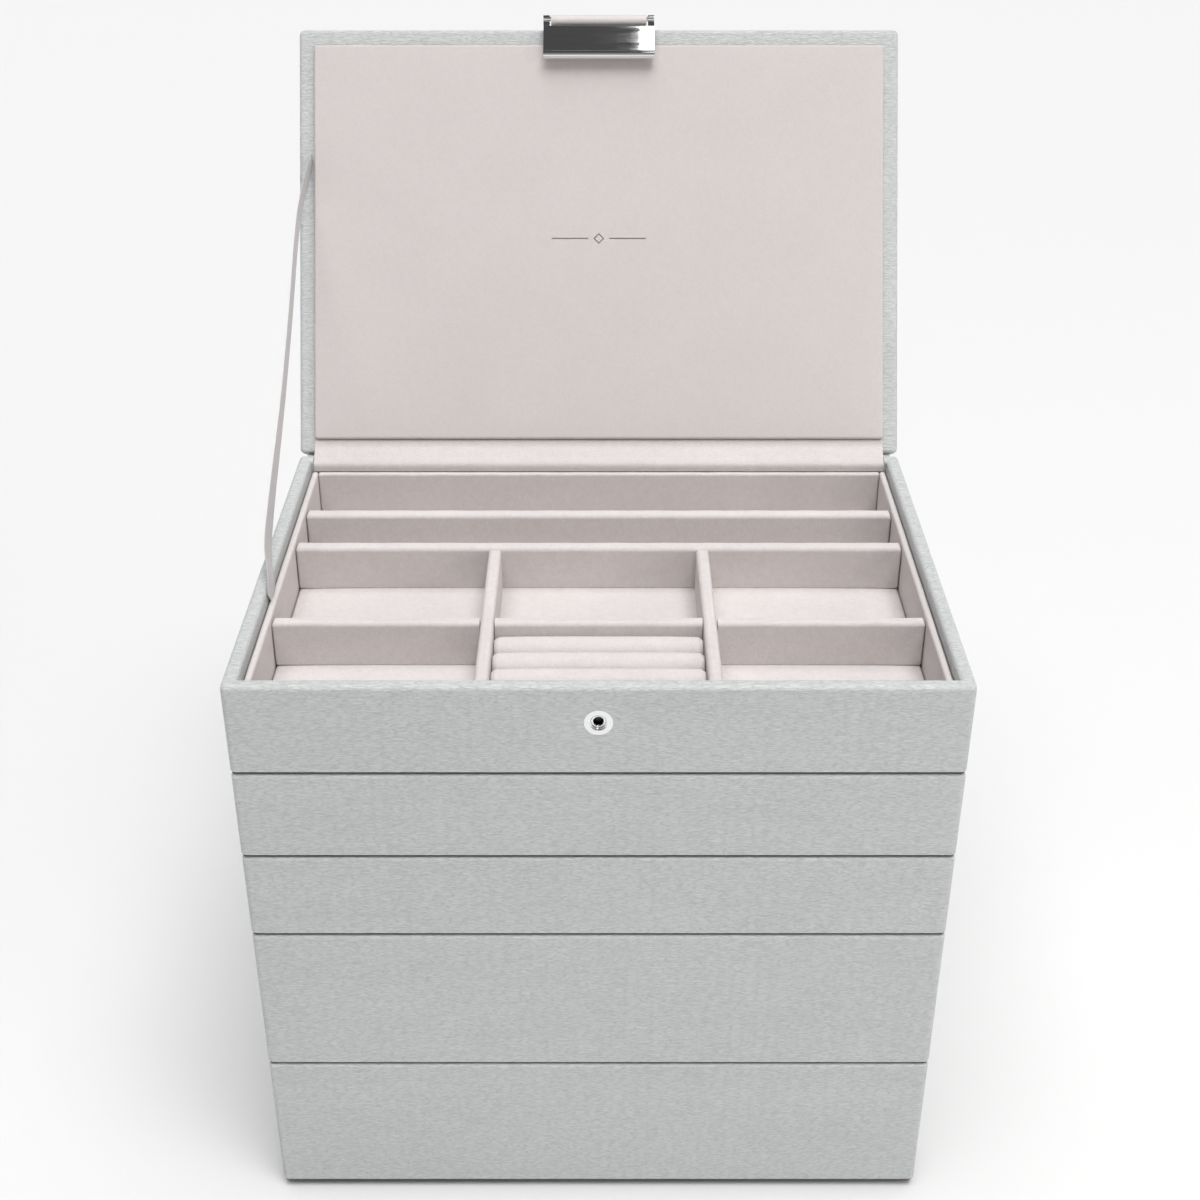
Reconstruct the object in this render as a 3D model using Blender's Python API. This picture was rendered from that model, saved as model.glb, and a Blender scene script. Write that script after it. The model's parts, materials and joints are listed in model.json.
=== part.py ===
"""Stackable jewelry box: five leather-wrapped trays, the top one with a hinged lid and a clasp.

World frame: metres, +Z up, +X to the right seen from the front, the front faces -Y. The origin is
the centre of the stack's underside. The lid stands open against its ribbon stay.
"""

import math

import bmesh
import bpy
from mathutils import Matrix, Vector

# ---------------------------------------------------------------- driving dimensions (metres)
WIDTH = 0.250  # outside, left to right
DEPTH = 0.178  # outside, front to back
GAP = 0.0003  # between pieces that touch
SHALLOW = 0.0352  # a shallow tray's leather shell
DEEP = 0.0632  # a deep tray's leather shell
SHELL_HEIGHTS = (SHALLOW, SHALLOW, SHALLOW, DEEP, DEEP)  # top tray first

CORNER = 0.003  # shell's upright corners
EDGE = 0.0016  # rounding of the shell's wrapped edges
WALL = 0.0053  # leather-wrapped wall
BASE = 0.0050  # leather-wrapped bottom board
FOOT_HEIGHT = 0.0032  # how far the foot stands below the shell
FOOT_INSET = WALL + 0.0008  # the foot drops inside the walls of the tray below

LINER = 0.0025  # velvet-wrapped card along the walls
LINER_TOP = 0.0048  # below the rim
FLOOR_TOP = 0.0242  # the top tray's velvet floor, below the rim
PAD = SHALLOW - BASE - GAP - FLOOR_TOP  # thickness of the velvet floor pad
DIVIDER_TOP = 0.0060  # below the rim
WIDE_CARD = 0.0056  # the back dividers
CARD = 0.0048  # every other divider
SOFT_EDGE = 0.0011  # rounding of the velvet cards

LONG_DIVIDERS = (0.0484, 0.0210, -0.0355)  # the top tray's, back to front
COLUMN = 0.0398  # the top tray's cross dividers stand this far from the middle
ROLLS = 4

AXIS = Vector((0, DEPTH / 2 + GAP, GAP))  # the lid's hinge line, from the rim's centre
LID_OPEN = math.radians(119.4)
LID_LENGTH = 0.1770  # from the hinge line to the lid's front edge
LID_THICK = 0.0110
LINING_ENDS = (0.0062, 0.1699)  # from the hinge line
LINING_HALF = 0.1185
LINING_FACE = 0.0024  # proud of the lid's inner face
BACK_WALL_DROP = 0.0014  # room for the folded hinge strip

BAR = Vector((0, -0.1807, -0.0020))  # the clasp's bar, from the hinge line of the shut lid
BAR_RADIUS = 0.00085  # close in the plate's ears, free in the tab's loop
LOOP = (0.0009, 0.0016)  # inside and outside radius of the tab's loop
TAB_HALF = 0.0198
CLASP_REST = math.radians(76)  # the bar's turn while the lid swings shut
PLATE_HALF = 0.0230
PLATE_THICK = 0.0012
PLATE_SPAN = (0.0034, 0.0184)  # from the bar to the plate's upper and lower edge
KNUCKLE = (0.0009, 0.0015)  # inside and outside radius of the plate's ears
KNUCKLE_WIDTH = 0.0026
STUD_DROP = 0.0123  # from the bar to the press stud
STUD_RADIUS = 0.0013
STUD_LENGTH = 0.0009

SOCKET_RADIUS = 0.0049
SOCKET_HOLE = 0.0017
SOCKET_PROUD = 0.0007
SOCKET_DEPTH = 0.0034  # pocket in the front wall behind the socket
POCKET_RADIUS = 0.0034

# ---------------------------------------------------------------- derived places
LEVELS = []  # (underside, rim) of each shell, top tray first
_level = FOOT_HEIGHT
for _height in reversed(SHELL_HEIGHTS):
    LEVELS.insert(0, (_level, _level + _height))
    _level += _height + GAP
RIM = LEVELS[0][1]
HALF_X = WIDTH / 2
HALF_Y = DEPTH / 2
LINER_X = HALF_X - WALL - GAP  # outside of the velvet liner
LINER_Y = HALF_Y - WALL - GAP
CELL_X = LINER_X - LINER  # inside of the velvet liner
CELL_Y = LINER_Y - LINER
SOCKET_Z = RIM + AXIS.z + BAR.z - STUD_DROP - 0.0001

# ---------------------------------------------------------------- colours
LEATHER = ((0.46, 0.48, 0.48), 0.55, 0.0)
VELVET = ((0.66, 0.60, 0.58), 0.95, 0.0)
CHROME = ((0.80, 0.80, 0.81), 0.10, 1.0)
SATIN = ((0.60, 0.60, 0.60), 0.45, 0.0)
DARK_METAL = ((0.05, 0.05, 0.05), 0.35, 1.0)


def material(name, look):
    """A Principled material of one colour, made once."""
    found = bpy.data.materials.get(name)
    if found:
        return found
    (red, green, blue), roughness, metallic = look
    made = bpy.data.materials.new(name)
    made.use_nodes = True
    shader = made.node_tree.nodes["Principled BSDF"]
    shader.inputs["Base Color"].default_value = (red, green, blue, 1)
    shader.inputs["Roughness"].default_value = roughness
    shader.inputs["Metallic"].default_value = metallic
    return made


def node(name, bm, look_name, look, parent=None, smooth=30):
    """The object of one sub-part, from its bmesh."""
    bmesh.ops.recalc_face_normals(bm, faces=bm.faces)
    mesh = bpy.data.meshes.new(name)
    bm.to_mesh(mesh)
    bm.free()
    mesh.materials.append(material(look_name, look))
    if smooth:
        mesh.shade_smooth()
        mesh.set_sharp_from_angle(angle=math.radians(smooth))
    made = bpy.data.objects.new(name, mesh)
    bpy.context.collection.objects.link(made)
    made.parent = parent
    return made


def empty(name, location, turn=0.0, parent=None):
    """An axis to hang moving pieces on, turned about X."""
    made = bpy.data.objects.new(name, None)
    made.location = location
    made.rotation_euler = (turn, 0, 0)
    made.parent = parent
    bpy.context.collection.objects.link(made)
    return made


def rounded_rectangle(half_x, half_y, radius, z, steps=4):
    """Points of a rectangle with round corners, anticlockwise, at one height."""
    radius = max(radius, 0.0004)
    points = []
    for corner, (sign_x, sign_y) in enumerate(((1, 1), (-1, 1), (-1, -1), (1, -1))):
        centre = Vector((sign_x * (half_x - radius), sign_y * (half_y - radius), z))
        for step in range(steps + 1):
            angle = math.radians(90) * (corner + step / steps)
            points.append(centre + radius * Vector((math.cos(angle), math.sin(angle), 0)))
    return points


def loft(rings, closed=False):
    """A skin over rings of equal length: capped at both ends, or joined round to the first."""
    bm = bmesh.new()
    rows = [[bm.verts.new(point) for point in ring] for ring in rings]
    count = len(rows[0])
    pairs = list(zip(rows, rows[1:]))
    if closed:
        pairs.append((rows[-1], rows[0]))
    else:
        bm.faces.new(rows[0])
        bm.faces.new(rows[-1])
    for low, high in pairs:
        for i in range(count):
            j = (i + 1) % count
            bm.faces.new((low[i], low[j], high[j], high[i]))
    return bm


def prism(outline, low, high, axis="X"):
    """An outline carried along X, or along Y where the outline is given as (x, z)."""
    if axis == "X":
        rings = [[Vector((x, a, b)) for a, b in outline] for x in (low, high)]
    else:
        rings = [[Vector((a, y, b)) for a, b in outline] for y in (low, high)]
    return loft(rings)


def arc(centre, radius, start, end, steps):
    """Points on a circle's arc in a plane, from start to end in degrees."""
    points = []
    for step in range(steps + 1):
        angle = math.radians(start + (end - start) * step / steps)
        points.append((centre[0] + radius * math.cos(angle), centre[1] + radius * math.sin(angle)))
    return points


def quarter(inset_from, inset_to, z_from, z_to, steps=3):
    """(inset, z) steps of a quarter round that starts upright and ends level."""
    points = []
    for step in range(steps + 1):
        angle = math.radians(90) * step / steps
        inset = inset_from + (inset_to - inset_from) * (1 - math.cos(angle))
        points.append((inset, z_from + (z_to - z_from) * math.sin(angle)))
    return points


def inset_rings(profile, half_x=HALF_X, half_y=HALF_Y, corner=CORNER):
    """One rounded rectangle for each (inset, z) of a profile."""
    return [
        rounded_rectangle(half_x - inset, half_y - inset, corner - inset, z)
        for inset, z in profile
    ]


def cutter(name, bm, target):
    """A hidden tool shape that is taken away from its target."""
    bmesh.ops.recalc_face_normals(bm, faces=bm.faces)
    mesh = bpy.data.meshes.new(name)
    bm.to_mesh(mesh)
    bm.free()
    tool = bpy.data.objects.new(name, mesh)
    bpy.context.collection.objects.link(tool)
    tool.hide_render = True
    tool.display_type = "WIRE"
    cut = target.modifiers.new(name, "BOOLEAN")
    cut.operation = "DIFFERENCE"
    cut.solver = "EXACT"
    cut.object = tool


def disc_rings(profile, steps=24):
    """Rings about the Y axis for a turned piece, one for each (radius, y)."""
    return [
        [
            Vector((radius * math.cos(2 * math.pi * i / steps), y,
                    radius * math.sin(2 * math.pi * i / steps)))
            for i in range(steps)
        ]
        for radius, y in profile
    ]


# ---------------------------------------------------------------- a tray's own pieces
def shell(tray):
    """The open leather-wrapped box: outer wall, rounded rim, inner wall and bottom board."""
    bottom, rim = LEVELS[tray - 1]
    profile = [(inset, z) for inset, z in reversed(quarter(0, EDGE, bottom + EDGE, bottom))]
    profile += quarter(0, EDGE, rim - EDGE, rim)
    profile += reversed(quarter(WALL, WALL - EDGE, rim - EDGE, rim))
    profile.append((WALL, bottom + BASE))
    return node(f"tray_{tray}_shell", loft(inset_rings(profile)), "leather", LEATHER)


def foot(tray):
    """The plinth board under a tray, which drops inside the rim of the tray below."""
    top = LEVELS[tray - 1][0] - GAP
    low = LEVELS[tray - 1][0] - FOOT_HEIGHT
    soft = 0.0008
    profile = [(FOOT_INSET + soft, low), (FOOT_INSET, low + soft), (FOOT_INSET, top)]
    node(f"tray_{tray}_foot", loft(inset_rings(profile, corner=CORNER + WALL)), "velvet", VELVET)


def liner(tray):
    """The ring of velvet-wrapped cards that stands against the walls."""
    bottom, rim = LEVELS[tray - 1]
    outer = WALL + GAP
    inner = outer + LINER
    low = bottom + BASE + GAP
    top = rim - LINER_TOP
    middle = (outer + inner) / 2
    profile = [(outer, low)] + quarter(outer, middle, top - SOFT_EDGE, top, 2)
    profile += list(reversed(quarter(inner, middle, top - SOFT_EDGE, top, 2)))[1:]
    profile.append((inner, low))
    node(f"tray_{tray}_liner", loft(inset_rings(profile), closed=True), "velvet", VELVET)


def floor_pad(tray):
    """The padded velvet floor inside the liner."""
    low = LEVELS[tray - 1][0] + BASE + GAP
    top = low + PAD
    outer = WALL + LINER + 2 * GAP
    profile = [(outer, low)] + quarter(outer, outer + SOFT_EDGE, top - SOFT_EDGE, top, 2)
    node(f"tray_{tray}_floor_pad", loft(inset_rings(profile)), "velvet", VELVET)
    return top


def notched(low, high, floor, top, notches, half_notch, opens_up):
    """Outline (along, z) of a divider with half-depth notches."""
    middle = (floor + top) / 2
    cut = middle - GAP / 2 if opens_up else middle + GAP / 2
    edge = top if opens_up else floor
    far = floor if opens_up else top
    outline = [(low, far), (high, far), (high, edge)]
    for place in sorted(notches, reverse=True):
        outline += [(place + half_notch, edge), (place + half_notch, cut)]
        outline += [(place - half_notch, cut), (place - half_notch, edge)]
    outline.append((low, edge))
    return outline


def divider(name, outline, place, thickness, along_x):
    """A velvet-wrapped card standing in a tray, with softened edges."""
    half = thickness / 2
    if along_x:
        bm = prism(outline, place - half, place + half, axis="Y")
    else:
        bm = prism(outline, place - half, place + half, axis="X")
    made = node(name, bm, "velvet", VELVET)
    soft = made.modifiers.new("soft_edge", "BEVEL")
    soft.width = SOFT_EDGE
    soft.segments = 2
    soft.limit_method = "ANGLE"
    soft.angle_limit = math.radians(40)


def partition(tray, floor, long_places, cross_places, long_thick=CARD, front=None, back=None):
    """Long dividers, notched from above, and cross dividers, notched from below to sit over them."""
    top = LEVELS[tray - 1][1] - DIVIDER_TOP
    low = floor + GAP
    front = -CELL_Y + GAP if front is None else front
    back = CELL_Y - GAP if back is None else back
    end = CELL_X - GAP
    notch = CARD / 2 + GAP
    for number, place in enumerate(long_places, 1):
        crossed = cross_places if place < back else ()
        thick = CARD if crossed else long_thick
        outline = notched(-end, end, low, top, crossed, notch, True)
        divider(f"tray_{tray}_long_divider_{number}", outline, place, thick, True)
    inside = [y for y in long_places if front < y < back]
    for number, place in enumerate(cross_places, 1):
        outline = notched(front, back, low, top, inside, notch, False)
        divider(f"tray_{tray}_cross_divider_{number}", outline, place, CARD, False)


def ring_rolls(floor):
    """Four velvet rolls side by side that grip rings between them."""
    back = LONG_DIVIDERS[2] - CARD / 2 - GAP
    front = -CELL_Y + GAP
    pitch = (back - front) / ROLLS
    radius = (pitch - GAP) / 2
    top = RIM - 0.0090
    end = COLUMN - CARD / 2 - GAP
    for number in range(ROLLS):
        y = back - pitch * (number + 0.5)
        outline = [(y - radius, floor + GAP), (y + radius, floor + GAP)]
        outline += arc((y, top - radius), radius, 0, 180, 8)
        node(f"ring_roll_{number + 1}", prism(outline, -end, end), "velvet", VELVET, smooth=35)


def press_socket(front_shell):
    """The chrome press-stud socket in the front wall, with its inner cup and spring wires."""
    face = -HALF_Y
    pocket = loft(disc_rings([(POCKET_RADIUS, -0.004), (POCKET_RADIUS, SOCKET_DEPTH)]))
    bmesh.ops.translate(pocket, verts=pocket.verts, vec=(0, face, SOCKET_Z))
    cutter("socket_pocket", pocket, front_shell)
    lip = SOCKET_HOLE + 0.0004
    barrel = POCKET_RADIUS - GAP
    front = -SOCKET_PROUD
    profile = [
        (barrel, 0.0012), (barrel, -GAP), (SOCKET_RADIUS, -GAP), (SOCKET_RADIUS - 0.0002, front * 0.8),
        (SOCKET_RADIUS - 0.0009, front), (lip + 0.0007, front * 0.7), (lip, front * 0.95),
        (SOCKET_HOLE, front * 0.8), (SOCKET_HOLE, 0.0012),
    ]
    place = Vector((0, face, SOCKET_Z))
    node("snap_socket", loft(disc_rings(profile), closed=True), "chrome", CHROME).location = place
    start = 0.0012 + GAP
    cup = [(barrel, start), (barrel, SOCKET_DEPTH - GAP), (0.0004, SOCKET_DEPTH - GAP)]
    cup += [(0.0004, SOCKET_DEPTH - 0.0006), (barrel - 0.0005, SOCKET_DEPTH - 0.0006)]
    cup.append((barrel - 0.0005, start))
    node("snap_cup", loft(disc_rings(cup), closed=True), "dark_metal", DARK_METAL).location = place
    wire = 0.00025
    turn = SOCKET_HOLE + 0.0002 + wire
    rings = []
    for step in range(17):
        angle = math.radians(30 + 300 * step / 16)
        away = Vector((math.cos(angle), 0, math.sin(angle)))
        middle = away * turn + Vector((0, start + 2 * wire, 0))
        corners = [math.radians(60 * i) for i in range(6)]
        rings.append([middle + wire * (away * math.cos(c) + Vector((0, math.sin(c), 0))) for c in corners])
    bm = loft(rings)
    node("snap_spring", bm, "dark_metal", DARK_METAL).location = place


# ---------------------------------------------------------------- the lid and its hinge
def leaf(points, thickness):
    """Outline of a thin bent strip: a path in a plane and the same path moved to its left."""
    path = [Vector(point) for point in points]
    left = []
    for i, here in enumerate(path):
        ahead = path[min(i + 1, len(path) - 1)] - here
        behind = here - path[max(i - 1, 0)]
        normals = [Vector((-v.y, v.x)).normalized() for v in (behind, ahead) if v.length > 0]
        mean = sum(normals, Vector((0, 0))).normalized()
        left.append(here + mean * thickness / max(mean.dot(normals[0]), 0.5))
    return [tuple(p) for p in path] + [tuple(p) for p in reversed(left)]


def lid_point(along, out):
    """World (y, z) of a point of the open lid: distance from the hinge line, and off its inner face."""
    lean = LID_OPEN - math.radians(90)
    y = AXIS.y + along * math.sin(lean) - out * math.cos(lean)
    return (y, RIM + AXIS.z + along * math.cos(lean) + out * math.sin(lean))


def hinge_strips():
    """The velvet strip across the inside of the hinge and the leather spine across the outside."""
    inner = HALF_Y - WALL
    shelf = RIM - BACK_WALL_DROP + GAP
    off = 0.0004
    path = [(inner - GAP, RIM - LINER_TOP + GAP), (inner - GAP, shelf), (HALF_Y - 0.0004, shelf)]
    path += [lid_point(0.0010, off), lid_point(LINING_ENDS[0] - GAP, off)]
    node("hinge_velvet", prism(leaf(path, 0.0005), -LINING_HALF, LINING_HALF), "velvet", VELVET)
    behind = HALF_Y + GAP
    edge = 0.0
    path = [lid_point(edge, -LID_THICK + 0.0010), lid_point(edge, -0.0012)]
    path += [(behind, RIM - 0.0010), (behind, RIM - 0.0110)]
    spine = leaf(list(reversed(path)), -0.0007)
    node("hinge_leather", prism(spine, -HALF_X + CORNER, HALF_X - CORNER), "leather", LEATHER)


def lid_board(axis):
    """The leather-wrapped lid, modelled shut: its inner face is level with the hinge line."""
    half = (LID_LENGTH - GAP) / 2
    profile = list(reversed(quarter(0, EDGE, EDGE, 0)))
    profile += quarter(0, EDGE, LID_THICK - EDGE, LID_THICK)
    bm = loft(inset_rings(profile, HALF_X, half))
    bmesh.ops.translate(bm, verts=bm.verts, vec=(0, -GAP - half, 0))
    node("lid_board", bm, "leather", LEATHER, axis)


def lid_lining(axis):
    """The padded velvet panel on the lid's inner face."""
    near, far = LINING_ENDS
    half = (far - near) / 2
    profile = [(0, -GAP)] + quarter(0, SOFT_EDGE, SOFT_EDGE - LINING_FACE, -LINING_FACE, 2)
    bm = loft(inset_rings(profile, LINING_HALF, half, 0.002))
    bmesh.ops.translate(bm, verts=bm.verts, vec=(0, -near - half, 0))
    node("lid_lining", bm, "velvet", VELVET, axis)


def lid_ribbon():
    """The flat satin ribbon stay on the left, from under the lining's edge to the tray's side wall."""
    route = [
        (-0.1195, 0.1492, 0.1077), (-0.1221, 0.1316, 0.0966), (-0.1227, 0.1140, 0.0856),
        (-0.1215, 0.0787, 0.0634), (-0.1203, 0.0435, 0.0413), (-0.1200, 0.0082, 0.0191),
        (-0.1200, -0.0094, 0.0081), (-0.1190, -0.0190, 0.0016), (-0.1190, -0.0250, -0.0035),
    ]
    half_width = 0.0040
    half_thick = 0.00022
    rings = []
    for i, point in enumerate(route):
        ahead = Vector(route[min(i + 1, len(route) - 1)]) - Vector(route[max(i - 1, 0)])
        across = ahead.cross(Vector((1, 0, 0))).normalized() * half_width
        if i == 0:
            lean = LID_OPEN - math.radians(90)
            across = Vector((0, math.sin(lean), math.cos(lean))) * half_width
        if i == len(route) - 1:
            across = Vector((0, -half_width, 0))
        middle = Vector(point) + Vector((0, 0, RIM))
        flat = Vector((half_thick, 0, 0))
        rings.append([middle - across - flat, middle - across + flat,
                      middle + across + flat, middle + across - flat])
    node("lid_ribbon", loft(rings), "satin", SATIN)


# ---------------------------------------------------------------- the clasp
def clasp_tab(axis):
    """The folded tab on the lid's front edge: a flat strap that loops round the clasp's bar."""
    inside, outside = LOOP
    back = -LID_LENGTH - GAP
    front = back - 0.0020
    top = LID_THICK - 0.0022
    clear = AXIS.y + HALF_Y + GAP + 0.00005  # in front of the tray's face once the lid is shut
    centre = (BAR.y, BAR.z)
    outline = [(back, top), (front, top), (front, 0.0006)]
    outline += arc(centre, outside, 75, 345, 14)
    outline += arc(centre, inside, 345, 30, 14)
    outline += [(-clear, BAR.z + 0.0004), (-clear, 0.0001), (back, 0.0001)]
    node("clasp_tab", prism(outline, -TAB_HALF, TAB_HALF), "velvet", VELVET, axis, smooth=40)


def clasp_bar(axis):
    """The thin steel bar held in the plate's ears, which turns in the tab's loop."""
    half = PLATE_HALF - 0.0002
    rings = [
        [Vector((x, BAR_RADIUS * math.cos(2 * math.pi * i / 16), BAR_RADIUS * math.sin(2 * math.pi * i / 16)))
         for i in range(16)]
        for x in (-half, half)
    ]
    node("clasp_bar", loft(rings), "chrome", CHROME, axis)


def clasp_plate(axis):
    """The chrome plate, modelled hanging: two ears curl round the bar, the lower edge rolls forward."""
    half = PLATE_THICK / 2
    upper, lower = (-reach for reach in PLATE_SPAN)
    roll = 0.0010
    plate = [(-half, upper), (half, upper), (half, lower)]
    plate += arc((-half, lower + roll), roll, 270, 90, 8)
    inside, outside = KNUCKLE
    root = math.degrees(math.asin(half / outside))
    curl = [(half, upper)]
    curl += arc((0, 0), outside, -90 + root, 200, 14)
    curl += arc((0, 0), inside, 200, -110, 14)
    curl.append((-half, upper))
    stations = (-PLATE_HALF, -PLATE_HALF + KNUCKLE_WIDTH, PLATE_HALF - KNUCKLE_WIDTH, PLATE_HALF)
    bm = bmesh.new()
    flats = [[bm.verts.new((x, y, z)) for y, z in plate] for x in stations]
    curls = []
    for x, flat in zip(stations, flats):
        made = [bm.verts.new((x, y, z)) for y, z in curl[1:-1]]
        curls.append([flat[1]] + made + [flat[0]])
    for place in range(3):
        near, far = flats[place], flats[place + 1]
        for i in range(len(plate)):
            j = (i + 1) % len(plate)
            if i or place == 1:
                bm.faces.new((near[i], near[j], far[j], far[i]))
        if place != 1:
            near, far = curls[place], curls[place + 1]
            for i in range(len(curl) - 1):
                bm.faces.new((near[i], near[i + 1], far[i + 1], far[i]))
    for loop in curls:
        bm.faces.new(loop)
    bm.faces.new(flats[0])
    bm.faces.new(flats[-1])
    node("clasp_plate", bm, "chrome", CHROME, axis, smooth=40)


def clasp_stud(axis):
    """The press stud on the plate's back, which snaps into the tray's socket."""
    back = PLATE_THICK / 2 + GAP
    tip = PLATE_THICK / 2 + STUD_LENGTH
    neck = STUD_RADIUS * 0.8
    profile = [(neck, back), (neck, back + 0.0002), (STUD_RADIUS, tip - 0.0003), (neck, tip)]
    made = node("clasp_stud", loft(disc_rings(profile, 20)), "chrome", CHROME, axis)
    made.location = (0, 0, -STUD_DROP)


def build():
    """Every piece of the jewelry box, bottom tray first."""
    for old in list(bpy.data.objects):
        bpy.data.objects.remove(old)
    floors = {}
    shells = {}
    for tray in range(len(SHELL_HEIGHTS), 0, -1):
        shells[tray] = shell(tray)
        foot(tray)
        liner(tray)
        floors[tray] = floor_pad(tray)
    partition(5, floors[5], (), (0.0,))
    partition(4, floors[4], (0.0,), (0.0,))
    partition(3, floors[3], (0.027, -0.027), ())
    partition(2, floors[2], (0.0,), (-0.060, 0.0, 0.060))
    cross_back = LONG_DIVIDERS[1] - WIDE_CARD / 2 - GAP
    partition(1, floors[1], LONG_DIVIDERS, (-COLUMN, COLUMN), WIDE_CARD, back=cross_back)
    ring_rolls(floors[1])
    press_socket(shells[1])
    shelf = bmesh.new()
    bmesh.ops.create_cube(shelf, size=1, matrix=Matrix.LocRotScale(
        Vector((0, HALF_Y, RIM - BACK_WALL_DROP + 0.005)), None,
        Vector((2 * (LINING_HALF + GAP), 4 * WALL, 0.010))))
    cutter("hinge_shelf", shelf, shells[1])
    lid_axis = empty("lid_axis", AXIS + Vector((0, 0, RIM)), -LID_OPEN)
    lid_board(lid_axis)
    lid_lining(lid_axis)
    clasp_tab(lid_axis)
    clasp_axis = empty("clasp_axis", BAR, CLASP_REST, lid_axis)
    clasp_bar(clasp_axis)
    clasp_plate(clasp_axis)
    clasp_stud(clasp_axis)
    hinge_strips()
    lid_ribbon()


build()
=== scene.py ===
"""Finishes of the stackable jewelry box: leather shells, velvet insides, padded lid, clasp and studio."""

import json
import logging
import math
from dataclasses import dataclass, field
from enum import Enum

import bpy
import numpy as np
from mathutils import Euler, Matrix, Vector


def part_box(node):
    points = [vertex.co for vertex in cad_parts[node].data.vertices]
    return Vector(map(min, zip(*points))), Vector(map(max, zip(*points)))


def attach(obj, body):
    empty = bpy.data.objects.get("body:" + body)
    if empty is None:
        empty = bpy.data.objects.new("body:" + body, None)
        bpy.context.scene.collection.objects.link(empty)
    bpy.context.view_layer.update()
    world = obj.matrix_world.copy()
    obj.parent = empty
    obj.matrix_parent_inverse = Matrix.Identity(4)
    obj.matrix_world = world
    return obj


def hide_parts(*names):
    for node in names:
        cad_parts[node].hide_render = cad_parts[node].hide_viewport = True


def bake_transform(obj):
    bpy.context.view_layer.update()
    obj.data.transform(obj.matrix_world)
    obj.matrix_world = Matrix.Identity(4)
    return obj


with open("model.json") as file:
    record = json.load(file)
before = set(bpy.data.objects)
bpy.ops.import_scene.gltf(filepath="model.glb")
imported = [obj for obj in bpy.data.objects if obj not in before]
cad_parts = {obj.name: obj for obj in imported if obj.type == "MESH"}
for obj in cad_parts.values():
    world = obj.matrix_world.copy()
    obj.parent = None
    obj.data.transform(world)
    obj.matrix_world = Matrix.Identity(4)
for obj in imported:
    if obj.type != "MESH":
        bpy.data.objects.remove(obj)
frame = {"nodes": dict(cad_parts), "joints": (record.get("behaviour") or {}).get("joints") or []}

LOG = logging.getLogger("jewelry_box")
MM = 0.001
GAP = 0.3 * MM
SHARP = 35.0  # edges bent by more degrees than this stay sharp
SUPPORT = 0.25 * MM  # a row this close to a rounding keeps the flat beside it flat in the light
Colour = tuple[float, float, float]


class Slot(Enum):
    """The record's material slots."""

    LEATHER = "leather"
    VELVET = "velvet"
    TAB = "tab"
    SATIN = "satin"
    CHROME = "chrome"


# ---------------------------------------------------------------- surfaces
@dataclass
class Solid:
    """One or more closed skins: points and the faces between them.

    Attributes:
        points: An array of places, one row each.
        faces: Lists of point numbers.
    """

    points: np.ndarray
    faces: list[list[int]]

    def __add__(self, other: "Solid") -> "Solid":
        """Both skins in one mesh, side by side.

        Args:
            other: The second skin.

        Returns:
            A new solid.
        """
        shift = len(self.points)
        moved = [[i + shift for i in face] for face in other.faces]
        return Solid(np.vstack((self.points, other.points)), self.faces + moved)

    def placed(self, turn_x: float, move: np.ndarray) -> "Solid":
        """The same skin turned about X and then moved.

        Args:
            turn_x: Angle in radians, right-handed about +X.
            move: The shift that follows the turn.

        Returns:
            A new solid.
        """
        c, s = math.cos(turn_x), math.sin(turn_x)
        turn = np.array([[1, 0, 0], [0, c, -s], [0, s, c]])
        return Solid(self.points @ turn.T + np.asarray(move, float), self.faces)


def skin(rings: np.ndarray, around: bool = False) -> Solid:
    """Closes a grid of rings into a solid.

    A face joins each point to its right-hand neighbour and to the same two points of the next ring. The
    first and last ring are filled, or joined to each other.

    Args:
        rings: Rows of points, shape (rows, columns, 3); each row is a closed loop.
        around: True where the last ring meets the first.

    Returns:
        The solid with its faces pointing out for rings that run anticlockwise going up.
    """
    rows, columns = rings.shape[:2]
    index = np.arange(rows * columns).reshape(rows, columns)
    ends = [] if around else [index[0][::-1].tolist(), index[-1].tolist()]
    if around:
        index = np.vstack((index, index[:1]))
    right = np.roll(index, -1, axis=1)
    quads = np.stack((index[:-1], right[:-1], right[1:], index[1:]), axis=-1).reshape(-1, 4)
    return Solid(rings.reshape(-1, 3), quads.tolist() + ends)


def quarter(low: float, high: float, inset: float, depth: float, steps: int = 6) -> np.ndarray:
    """(inset, height) rows of a quarter ellipse that starts upright and ends level, with a row before it.

    Args:
        low: Height where the rounding starts.
        high: Height where it ends.
        inset: Inset at its start.
        depth: How far it leans in, or out where negative.
        steps: Number of steps.

    Returns:
        Inset is start + depth (1 - cos a), height is low + (high - low) sin a, for a from 0 to 90 degrees.
    """
    angle = np.linspace(0, math.pi / 2, steps + 1)
    rows = np.column_stack((inset + depth * (1 - np.cos(angle)), low + (high - low) * np.sin(angle)))
    before = (inset, low - math.copysign(SUPPORT, high - low))
    after = (inset + depth + math.copysign(SUPPORT, depth), high)
    return np.vstack((before, rows, after))


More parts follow.
